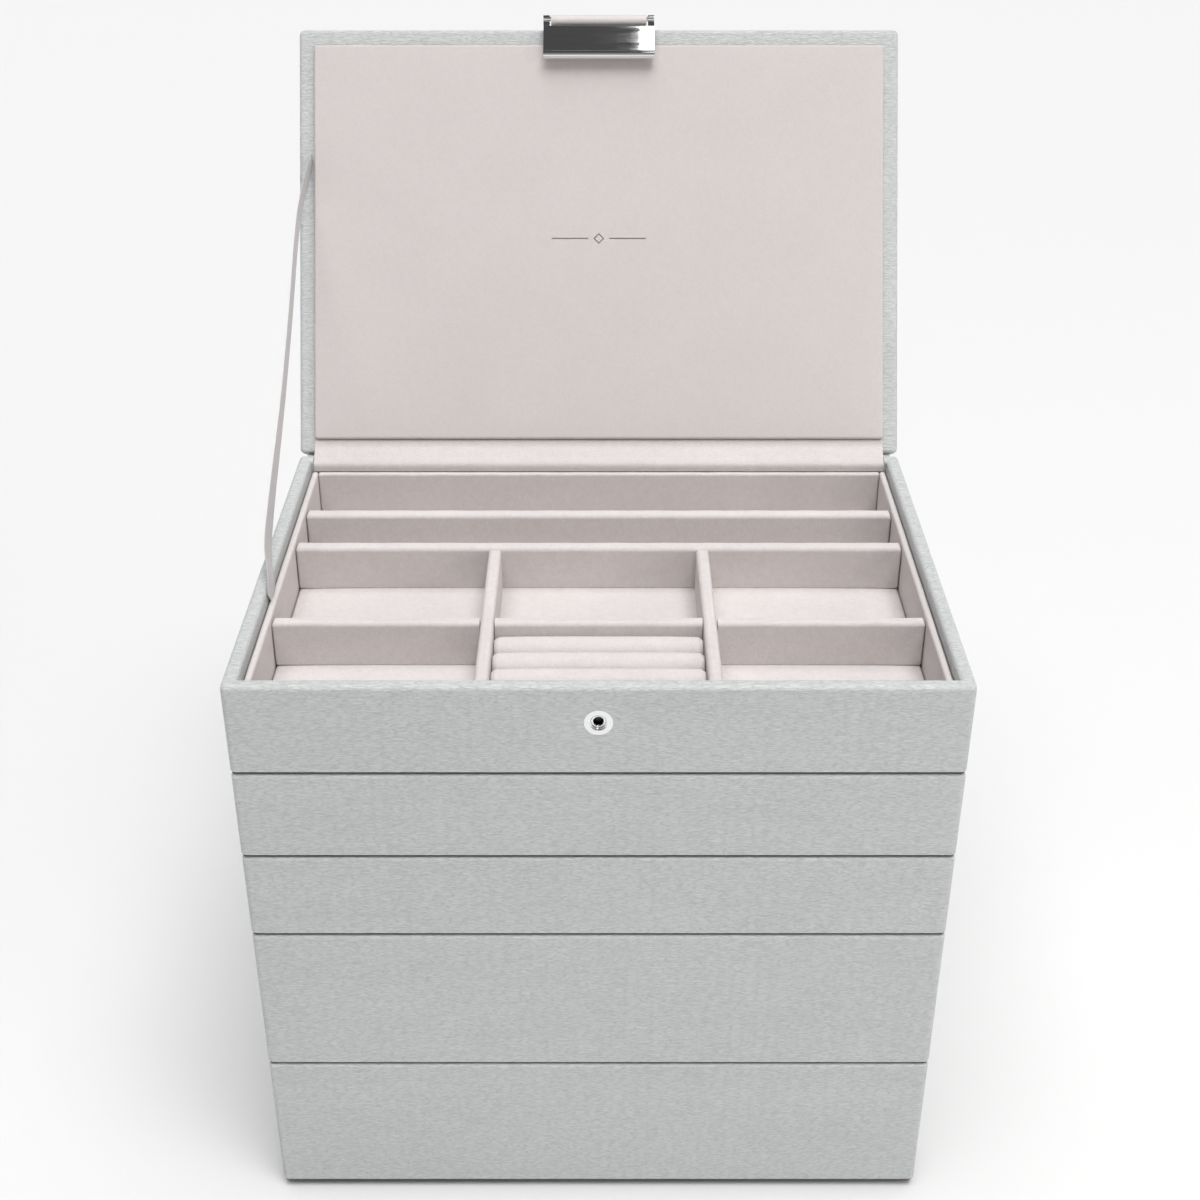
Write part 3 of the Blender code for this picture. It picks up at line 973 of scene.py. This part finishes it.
def crowned_pad(low: Vector, high: Vector, soft: float, crown: float, corner: float = 1.5 * MM) -> Solid:
    """A flat cushion that swells between its edges.

    Args:
        low: Its lowest corner.
        high: The highest corner of its flat shape.
        soft: Rounding of its upper edge.
        crown: How far the middle stands above the edge.
        corner: Radius of its upright corners.

    Returns:
        Rings that shrink to the middle while the height rises by crown (1 - (1 - s)^3).
    """
    plan = RoundedPlan.over(low, high, corner, side_steps=30)
    foot = 0.3 * MM
    share = np.linspace(0, 1, 14)[1:]
    reach = min(plan.half) - soft - 1.0 * MM
    dome = np.column_stack((soft + reach * share**1.5, high.z + crown * (1 - (1 - share) ** 3)))
    bottom = [(foot, low.z), (0, low.z + foot)]
    return skin(plan.rings(np.vstack((bottom, quarter(high.z - soft, high.z, 0, soft), dome))))


# ---------------------------------------------------------------- the top tray's fittings
@dataclass
class RingRolls:
    """The velvet rolls that grip rings between them.

    Attributes:
        finishes: The finishes.
        waist: How far a roll tapers towards its ends, as a share.
        pinch: How much more its last stretch draws in, as a share.
        straight: Where that stretch starts, from 0 at the middle to 1 at the end.
    """

    finishes: Finishes
    waist: float = 0.05
    pinch: float = 0.14
    straight: float = 0.955

    def build(self) -> None:
        """Makes the four rolls."""
        for number in range(1, 5):
            low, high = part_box(f"ring_roll_{number}")
            made = piece(f"velvet_roll_{number}", self.roll(low, high), self.finishes.velvet, 60)
            settle(made, "tray_1", Slot.VELVET, f"ring_roll_{number}")

    def roll(self, low: Vector, high: Vector) -> Solid:
        """A stuffed roll: straight sides under a half round, drawn in at its two ends.

        The section is scaled about its middle by 1 - waist e^6, where e runs from -1 to 1 along the roll,
        less the pinch, which grows evenly over the last stretch.

        Args:
            low: Its lowest corner.
            high: Its highest corner.

        Returns:
            The roll.
        """
        middle = (low.y + high.y) / 2
        radius = (high.y - low.y) / 2
        top = arc((middle, high.z - radius), radius, 0, 180, 24)
        foot = radius - 0.5 * MM
        section = np.vstack(([(middle - foot, low.z), (middle + foot, low.z)], top))
        end = np.linspace(0.9, 1, 8)
        along = np.concatenate((-end[::-1], np.linspace(-0.88, 0.88, 24), end))
        last = np.maximum(np.abs(along) - self.straight, 0) / (1 - self.straight)
        scale = (1 - self.waist * along**6 - self.pinch * last)[:, None, None]
        centre = np.array([middle, (low.z + high.z) / 2])
        x = (low.x + high.x) / 2 + along * (high.x - low.x) / 2
        return loft_x(x, centre + (section - centre) * scale)


@dataclass
class PressSocket:
    """The chrome socket in the front wall, its dark cup and its spring.

    Attributes:
        finishes: The finishes.
        hole: Radius of the hole for the stud.
        barrel: Radius of the barrel.
        back: Depth of the barrel's end behind the shell's face.
        proud: How far the flange's flat face stands in front of the shell's face.
        ring: Radius of the inner ring's middle and of its round section.
        lip: Radius of the round lip of the hole.
    """

    finishes: Finishes
    hole: float = 1.7 * MM
    barrel: float = 3.1 * MM
    back: float = 1.2 * MM
    proud: float = 0.1 * MM
    ring: tuple[float, float] = (3.0 * MM, 0.35 * MM)
    lip: float = 0.4 * MM

    def build(self) -> None:
        """Turns the flange and its rings, and dresses the cup and spring.

        The section starts at the barrel, runs out over the flat face, flares out in the wall by a part
        circle, comes back behind the face, and goes over the inner ring and the lip to the hole.
        """
        low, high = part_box("snap_socket")
        centre = (0.0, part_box("tray_1_shell")[0].y, (low.z + high.z) / 2)
        rim = (high.x - low.x) / 2
        deep = centre[1] - low.y
        flare = arc((rim + deep, 0), deep, 180, 105, 12)
        ring = arc((self.ring[0], deep + 0.25 * MM), self.ring[1], 0, -180, 12)
        lip = arc((self.hole + self.lip, deep + 0.42 * MM), self.lip, -20, -180, 10)
        profile = np.vstack((
            [(self.barrel, self.back), (self.barrel, -self.proud), (rim, -self.proud)], flare,
            [(3.5 * MM, deep), (3.36 * MM, deep + 0.12 * MM)], ring, [(2.6 * MM, deep + 0.45 * MM)], lip,
            [(self.hole, self.back)],
        ))
        made = piece("press_socket", turned(profile, centre), self.finishes.chrome, 50)
        settle(made, "tray_1", Slot.CHROME, "snap_socket")
        for name in ("snap_cup", "snap_spring"):
            node = frame["nodes"][name]
            node.data.materials.clear()
            node.data.materials.append(self.finishes.dark_metal)


# ---------------------------------------------------------------- lid, hinge and clasp
@dataclass
class LidFrame:
    """Where the open lid is: its hinge line and how it leans.

    Attributes:
        axis: A point of the hinge line.
        turn: The angle from the shut lid to the open one, about +X.
    """

    axis: np.ndarray = field(default_factory=lambda: np.array(joint("lid_hinge")["pos_m"], float))
    turn: float = field(default_factory=lambda: -math.radians(joint("lid_hinge")["range_deg"][1]))

    def world(self, shut: Solid) -> Solid:
        """A solid of the shut lid, measured from the hinge line, put where the open lid is."""
        return shut.placed(self.turn, self.axis)

    def point(self, along: float, out: float) -> np.ndarray:
        """(y, z) of a place on the open lid, from its distance to the hinge and its height off the face."""
        c, s = math.cos(self.turn), math.sin(self.turn)
        return self.axis[1:] + np.array([-along * c + out * s, -along * s - out * c])


@dataclass
class Lid:
    """The leather-wrapped lid board, its padded lining and the foil ornament.

    Attributes:
        finishes: The finishes.
        place: Where the open lid is.
        length: From the hinge line to the front edge.
        thick: The board's thickness.
        edge: Rounding of its edges.
        corner: Radius of its corners.
        lining: The lining's near and far edge, from the hinge line.
        lining_face: How far the lining's edge stands off the board.
        swell: How much further its middle stands off.
        ornament: The ornament's distance from the hinge line.
    """

    finishes: Finishes
    place: LidFrame
    length: float = 177.0 * MM
    thick: float = 11.0 * MM
    edge: float = 1.6 * MM
    corner: float = 2.0 * MM
    lining: tuple[float, float] = (6.2 * MM, 169.9 * MM)
    lining_face: float = 2.4 * MM
    swell: float = 0.35 * MM
    ornament: float = 89.5 * MM

    def build(self) -> None:
        """Makes the board, the lining and the ornament."""
        self.board()
        self.panel()
        self.emblem()

    def board(self) -> None:
        """The wrapped board: rings that lean in at both faces."""
        low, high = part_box("lid_board")
        plan = RoundedPlan.over(Vector((low.x, -self.length, 0)), Vector((high.x, -GAP, 0)), self.corner)
        e = self.edge
        profile = np.vstack((quarter(e, 0, 0, e)[::-1], quarter(self.thick - e, self.thick, 0, e)))
        solid = self.place.world(skin(plan.rings(profile)))
        settle(piece("leather_lid", solid, self.finishes.leather), "lid", Slot.LEATHER, "lid_board")

    def panel(self) -> None:
        """The lining: a thin cushion face down on the shut lid."""
        low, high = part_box("lid_lining")
        near, far = self.lining
        bottom, top = Vector((low.x, near, GAP)), Vector((high.x, far, self.lining_face))
        pad = crowned_pad(bottom, top, 1.0 * MM, self.swell, 1.2 * MM)
        over = Solid(pad.points * np.array([1, -1, -1]), pad.faces)
        made = piece("lining_cushion", self.place.world(over), self.finishes.lining, 60)
        settle(made, "lid", Slot.VELVET, "lid_lining")

    def emblem(self) -> None:
        """A plain foil ornament: an open lozenge between two thin lines, pressed on the lining."""
        thick = 0.06 * MM
        half = 0.22 * MM
        y = -self.ornament
        level = -self.lining_face - self.swell
        low, high = level - thick, level + thick
        solids = []
        for start, end in ((-19.5 * MM, -4.5 * MM), (4.5 * MM, 19.5 * MM)):
            line = np.array([(start, y - half), (end, y - half), (end, y + half), (start, y + half)])
            solids.append(loft_z([line, line], [low, high]))
        corners = np.array([(1, 0), (0, 1), (-1, 0), (0, -1)], float)
        outer, inner = (corners * reach + np.array([0, y]) for reach in (2.2 * MM, 1.65 * MM))
        lozenge = loft_z([outer, outer, inner, inner], [low, high, high, low], around=True)
        solid = solids[0] + solids[1] + lozenge
        made = piece("foil_ornament", self.place.world(solid), self.finishes.foil)
        settle(made, "lid", Slot.CHROME)


@dataclass
class Hinge:
    """The velvet strip inside the hinge, the leather spine outside it and the ribbon stay.

    Attributes:
        finishes: The finishes.
        place: Where the open lid is.
        route: The ribbon's middle line from the lid to the tray.
        width: The ribbon's width.
        thick: Its thickness.
        lean: How far it turns towards X in its last half, in degrees.
    """

    finishes: Finishes
    place: LidFrame
    route: tuple = (
        (-0.1195, 0.1492, 0.3441), (-0.1221, 0.1316, 0.3330), (-0.1227, 0.1140, 0.3220),
        (-0.1218, 0.0787, 0.2998), (-0.1214, 0.0435, 0.2777), (-0.1217, 0.0082, 0.2555),
        (-0.1212, -0.0094, 0.2445), (-0.1191, -0.0190, 0.2380), (-0.1190, -0.0250, 0.2329),
    )
    width: float = 8.0 * MM
    thick: float = 0.5 * MM
    lean: float = -9.0

    def build(self) -> None:
        """Makes the strip, the spine and the ribbon."""
        self.strip()
        self.spine()
        self.ribbon()

    def bend(
        self, made: bpy.types.Object, node: str
    ) -> None:
        """Bakes a piece's place into its mesh and hides the node that it stands for.

        Args:
            made: The piece.
            node: The node that it stands for.
        """
        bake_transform(made)
        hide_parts(node)
        LOG.info("%s bends between tray_1 and lid", made.name)

    def strip(self) -> None:
        """Velvet draped from the lining's lower edge over the back rim and down inside it."""
        low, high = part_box("hinge_velvet")
        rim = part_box("tray_1_shell")[1]
        y_in = low.y + 0.5 * MM
        shelf = rim.z - 1.1 * MM
        edge = np.array([y_in + 0.8 * MM, shelf])
        fold = self.place.point(2.6 * MM, 0.9 * MM)
        points = np.array([
            (y_in, low.z), (y_in, shelf - 1.2 * MM), edge, edge + (fold - edge) / 3,
            edge + (fold - edge) * 2 / 3, fold, self.place.point(4.2 * MM, 0.55 * MM),
            self.place.point(5.9 * MM, 0.4 * MM),
        ])
        path = smooth_path(points, 40)
        solid = along_x(leaf(path, 0.5 * MM), np.linspace(low.x, high.x, 30))
        made = piece("hinge_drape", solid, self.finishes.velvet, 70)
        end = np.array([0, *self.place.point(2.5 * MM, 0)])
        self.bend(made, "hinge_velvet")

    def spine(self) -> None:
        """The leather that joins tray and lid outside, folded where the lid leans back."""
        low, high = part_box("hinge_leather")
        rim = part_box("tray_1_shell")[1]
        behind = rim.y + GAP
        on_tray = [(behind, low.z), (behind, rim.z - 5 * MM), (behind + 0.05 * MM, rim.z - 2.0 * MM)]
        on_lid = [self.place.point(0, -down) for down in (1.6 * MM, 3.2 * MM, 10.0 * MM)]
        points = np.array(on_tray + on_lid)
        path = smooth_path(points, 40)
        solid = along_x(leaf(path, -0.7 * MM), np.linspace(low.x, high.x, 30))
        made = piece("leather_spine", solid, self.finishes.leather, 70)
        end = np.array([0, *self.place.point(0, -2.0 * MM)])
        self.bend(made, "hinge_leather")

    def ribbon(self) -> None:
        """The flat ribbon: a beaded section carried along the route and turned as it goes.

        The width lies in the YZ plane, square to the route, and turns towards X by the lean, which comes
        in smoothly and is gone at the end. The section is a superellipse with thicker selvedges.
        """
        path = smooth_path(np.array(self.route), 90)
        tangent = np.gradient(path, axis=0)
        tangent /= np.linalg.norm(tangent, axis=1, keepdims=True)
        side = np.array([1.0, 0, 0])
        flat = np.cross(tangent, side)
        flat /= np.linalg.norm(flat, axis=1, keepdims=True)
        normal = np.cross(flat, tangent)
        share = np.linspace(0, 1, len(path))
        rise = np.clip((share - 0.45) / 0.3, 0, 1)
        ends = np.clip((1 - share) / 0.1, 0, 1)
        twist = math.radians(self.lean) * rise**2 * (3 - 2 * rise) * ends
        across = flat * np.cos(twist)[:, None] + normal * np.sin(twist)[:, None]
        out = normal * np.cos(twist)[:, None] - flat * np.sin(twist)[:, None]
        angle = np.linspace(0, 2 * math.pi, 28, endpoint=False)
        wide = np.sign(np.cos(angle)) * np.abs(np.cos(angle)) ** 0.6 * self.width / 2
        edge = 1 + 0.5 * np.abs(np.cos(angle)) ** 4
        deep = np.sin(angle) * self.thick / 2 * edge
        rings = path[:, None] + across[:, None] * wide[None, :, None] + out[:, None] * deep[None, :, None]
        made = piece("ribbon_stay", skin(rings), self.finishes.ribbon, 60)
        self.bend(made, "lid_ribbon")


@dataclass
class Clasp:
    """The tab, the bar and the hanging plate with its press stud.

    Attributes:
        finishes: The finishes.
        place: Where the open lid is.
        bar_radius: Radius of the bar.
        loop: Inside and outside radius of the tab's loop.
        knuckle: Inside and outside radius of the plate's ears.
        ear: Width of an ear.
        plate: The plate's upper and lower edge, from the bar.
        plate_thick: Its thickness.
        stud_drop: From the bar to the stud.
    """

    finishes: Finishes
    place: LidFrame
    bar_radius: float = 0.85 * MM
    loop: tuple[float, float] = (0.9 * MM, 1.6 * MM)
    knuckle: tuple[float, float] = (0.9 * MM, 1.5 * MM)
    ear: float = 2.6 * MM
    plate: tuple[float, float] = (3.4 * MM, 18.4 * MM)
    plate_thick: float = 1.2 * MM
    stud_drop: float = 12.3 * MM

    def __post_init__(self) -> None:
        """Finds the bar, and how far the hanging plate is turned at rest."""
        swing = joint("clasp_swing")
        self.bar = np.array(swing["pos_m"], float)
        self.turn = self.place.turn - math.radians(swing["range_deg"][0])

    def build(self) -> None:
        """Makes the tab, the bar, the plate and the stud."""
        self.tab()
        self.rod()
        self.hanging_plate()
        self.stud()

    def tab(self) -> None:
        """The folded tab: a strap on the lid's front edge that wraps round the bar."""
        low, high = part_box("clasp_tab")
        # on the shut lid: y from the hinge line, z up from the lid's lower face
        shut = self.bar - self.place.axis
        c, s = math.cos(-self.place.turn), math.sin(-self.place.turn)
        y, z = shut[1] * c - shut[2] * s, shut[1] * s + shut[2] * c
        back = -177.3 * MM
        front = back - 2.0 * MM
        top = 8.8 * MM
        clear = -178.65 * MM
        soft = 0.5 * MM
        inside, outside = self.loop
        deeper = (y + 0.55 * MM, z)
        section = np.vstack((
            [(back, top)], arc((front + soft, top - soft), soft, 90, 180, 5), [(front, 0.9 * MM)],
            arc((y, z), outside, 75, 200, 20), arc(deeper, outside, 205, 345, 20),
            arc(deeper, inside, 345, 180, 20), arc((y, z), inside, 170, 30, 20),
            [(clear, z + 0.4 * MM), (clear, 0.1 * MM), (back, 0.1 * MM)],
        ))
        end = np.array([0.988, 0.996, 1.0])
        share = np.concatenate((-end[::-1], np.linspace(-0.95, 0.95, 9), end))
        x = (low.x + high.x) / 2 + (high.x - low.x) / 2 * share
        solid = self.place.world(along_x(section, x))
        settle(piece("woven_tab", solid, self.finishes.tab, 45), "lid", Slot.TAB, "clasp_tab")

    def rod(self) -> None:
        """The bar, with rounded ends."""
        low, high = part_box("clasp_bar")
        ring = arc((0, 0), 1.0, 0, 360, 24)[:-1]
        half = (high.x - low.x) / 2
        reach = np.array([half, half - 0.05 * MM, half - 0.2 * MM])
        x = np.concatenate((-reach, reach[::-1]))
        size = self.bar_radius * np.array([0.6, 0.85, 1.0, 1.0, 0.85, 0.6])
        solid = loft_x(x, ring[None] * size[:, None, None] + self.bar[1:])
        settle(piece("steel_bar", solid, self.finishes.chrome), "clasp_plate", Slot.CHROME, "clasp_bar")

    def hanging_plate(self) -> None:
        """The mirror plate: a flat sheet, a lip rolled forward below, and an ear at each end of the bar."""
        half_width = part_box("clasp_plate")[1].x
        half = self.plate_thick / 2
        upper, lower = -self.plate[0], -self.plate[1]
        roll = 1.7 * MM
        soft = 0.18 * MM
        level = lower + 2 * roll
        sheet = np.vstack((
            [(-half, upper - 2 * soft)], arc((-half + soft, upper - soft), soft, 180, 90, 4),
            arc((half - soft, upper - soft), soft, 90, 0, 4),
            [(half, upper - 2 * soft), (half, lower + 2 * soft)],
            arc((half - soft, lower + soft), soft, 0, -90, 4),
            arc((-half, lower + roll), roll, 270, 100, 24), [(-half, level + 0.1 * MM)],
        ))
        inside, outside = self.knuckle
        root = math.degrees(math.asin(half / outside))
        curl = np.vstack((
            [(half, upper - 0.6 * MM)], arc((0, 0), outside, -90 + root, 200, 36),
            arc((0, 0), inside, 200, -110, 30), [(-half, upper - 0.6 * MM)],
        ))
        reach = half_width - 0.05 * MM
        solid = along_x(sheet, np.array([-reach, reach]))
        for ends in ((-half_width, self.ear - half_width), (half_width - self.ear, half_width)):
            solid = solid + along_x(curl, np.array(ends))
        made = piece("mirror_plate", solid.placed(self.turn, self.bar), self.finishes.chrome, 40)
        settle(made, "clasp_plate", Slot.CHROME, "clasp_plate")

    def stud(self) -> None:
        """The press stud on the plate's back: a neck under a round head."""
        back = self.plate_thick / 2
        profile = np.vstack((
            [(0.02 * MM, back - 0.1 * MM), (1.05 * MM, back - 0.1 * MM), (1.05 * MM, back + 0.3 * MM)],
            arc((0.95 * MM, back + 0.6 * MM), 0.35 * MM, -60, 90, 8), [(0.02 * MM, back + 0.95 * MM)],
        ))
        solid = turned(profile, (0, 0, -self.stud_drop), 40).placed(self.turn, self.bar)
        made = piece("press_stud", solid, self.finishes.chrome, 50)
        settle(made, "clasp_plate", Slot.CHROME, "clasp_stud")


# ---------------------------------------------------------------- studio
@dataclass
class Studio:
    """The pale floor, the soft light and the camera.

    Attributes:
        finishes: The finishes.
        eye: The camera's height above the rim and its distance in front of the box's middle.
        aside: How far it stands to the right of the middle.
        pitch: How far it looks down, in degrees.
        lens: Focal length on a 36 mm sensor.
    """

    finishes: Finishes
    eye: tuple[float, float] = (0.3073, 0.5618)
    aside: float = 0.5 * MM
    pitch: float = 30.11
    lens: float = 51.42

    def build(self) -> None:
        """Makes the floor, the light and the camera."""
        self.floor()
        self.light()
        self.camera()
        bpy.context.scene.view_settings.view_transform = "Standard"

    def floor(self) -> None:
        """A wide level plane under the box."""
        reach = 30.0
        corners = [(-reach, -reach, 0), (reach, -reach, 0), (reach, reach, 0), (-reach, reach, 0)]
        mesh = bpy.data.meshes.new("floor")
        mesh.from_pydata(corners, [], [(0, 1, 2, 3)])
        mesh.materials.append(self.finishes.floor)
        link("floor", mesh)

    def light(self) -> None:
        """A surround that darkens overhead and is bright to the eye, two suns and a warm soft box."""
        world = bpy.data.worlds.new("studio")
        bpy.context.scene.world = world
        world.use_nodes = True
        nodes = Nodes(world.node_tree)
        background = world.node_tree.nodes["Background"]
        place = nodes.add("ShaderNodeTexCoord").outputs["Generated"]
        height = nodes.add("ShaderNodeSeparateXYZ", {0: place}).outputs["Z"]
        share = nodes.spread(height, 0.42, 0.92)
        colour = nodes.blend(share, (1.0, 1.0, 1.0), (0.24, 0.24, 0.24))
        seen = nodes.add("ShaderNodeLightPath").outputs["Is Camera Ray"]
        nodes.feed(background, {"Color": colour, "Strength": nodes.maths("MULTIPLY_ADD", seen, 0.68, 0.30)})
        self.sun("overhead", (0.02, -0.12, 0.97), 2.9, 55).visible_glossy = False
        self.sun("key", (0.197, -0.26, 0.95), 0.6, 20)
        self.softbox()

    def sun(self, name: str, towards: tuple, energy: float, width: float) -> bpy.types.Object:
        """A far round lamp.

        Args:
            name: The lamp's name.
            towards: The direction in which it stands.
            energy: Its strength.
            width: Its apparent width in degrees.

        Returns:
            The lamp's object.
        """
        lamp = bpy.data.lights.new(name, "SUN")
        lamp.energy = energy
        lamp.angle = math.radians(width)
        made = link(name, lamp)
        made.rotation_euler = Vector(towards).to_track_quat("Z", "Y").to_euler()
        return made

    def softbox(self) -> None:
        """A warm square light to the right of the camera."""
        lamp = bpy.data.lights.new("softbox", "AREA")
        lamp.energy = 4.0
        lamp.size = 0.8
        lamp.color = (1.0, 0.95, 0.93)
        made = link("softbox", lamp)
        made.location = (1.0, -0.8, 0.6)
        towards = Vector(made.location) - Vector((0, 0, 0.2))
        made.rotation_euler = towards.to_track_quat("Z", "Y").to_euler()
        made.visible_glossy = False

    def camera(self) -> None:
        """The camera in front of the box, above it and looking down."""
        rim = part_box("tray_1_shell")[1].z
        data = bpy.data.cameras.new("camera")
        data.lens = self.lens
        data.sensor_width = 36
        made = link("camera", data)
        made.location = (self.aside, -self.eye[1], rim + self.eye[0])
        made.rotation_euler = Euler((math.radians(90 - self.pitch), 0, 0))
        bpy.context.scene.camera = made


def main() -> None:
    """Builds every sub-assembly in order."""
    logging.basicConfig(level=logging.INFO, format="%(message)s")
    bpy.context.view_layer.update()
    finishes = Finishes()
    place = LidFrame()
    assemblies = [Studio(finishes)]
    assemblies += [Tray(number, finishes) for number in range(5, 0, -1)]
    assemblies += [RingRolls(finishes), PressSocket(finishes)]
    assemblies += [Lid(finishes, place), Hinge(finishes, place), Clasp(finishes, place)]
    for assembly in assemblies:
        assembly.build()


if __name__ == "__main__":
    main()
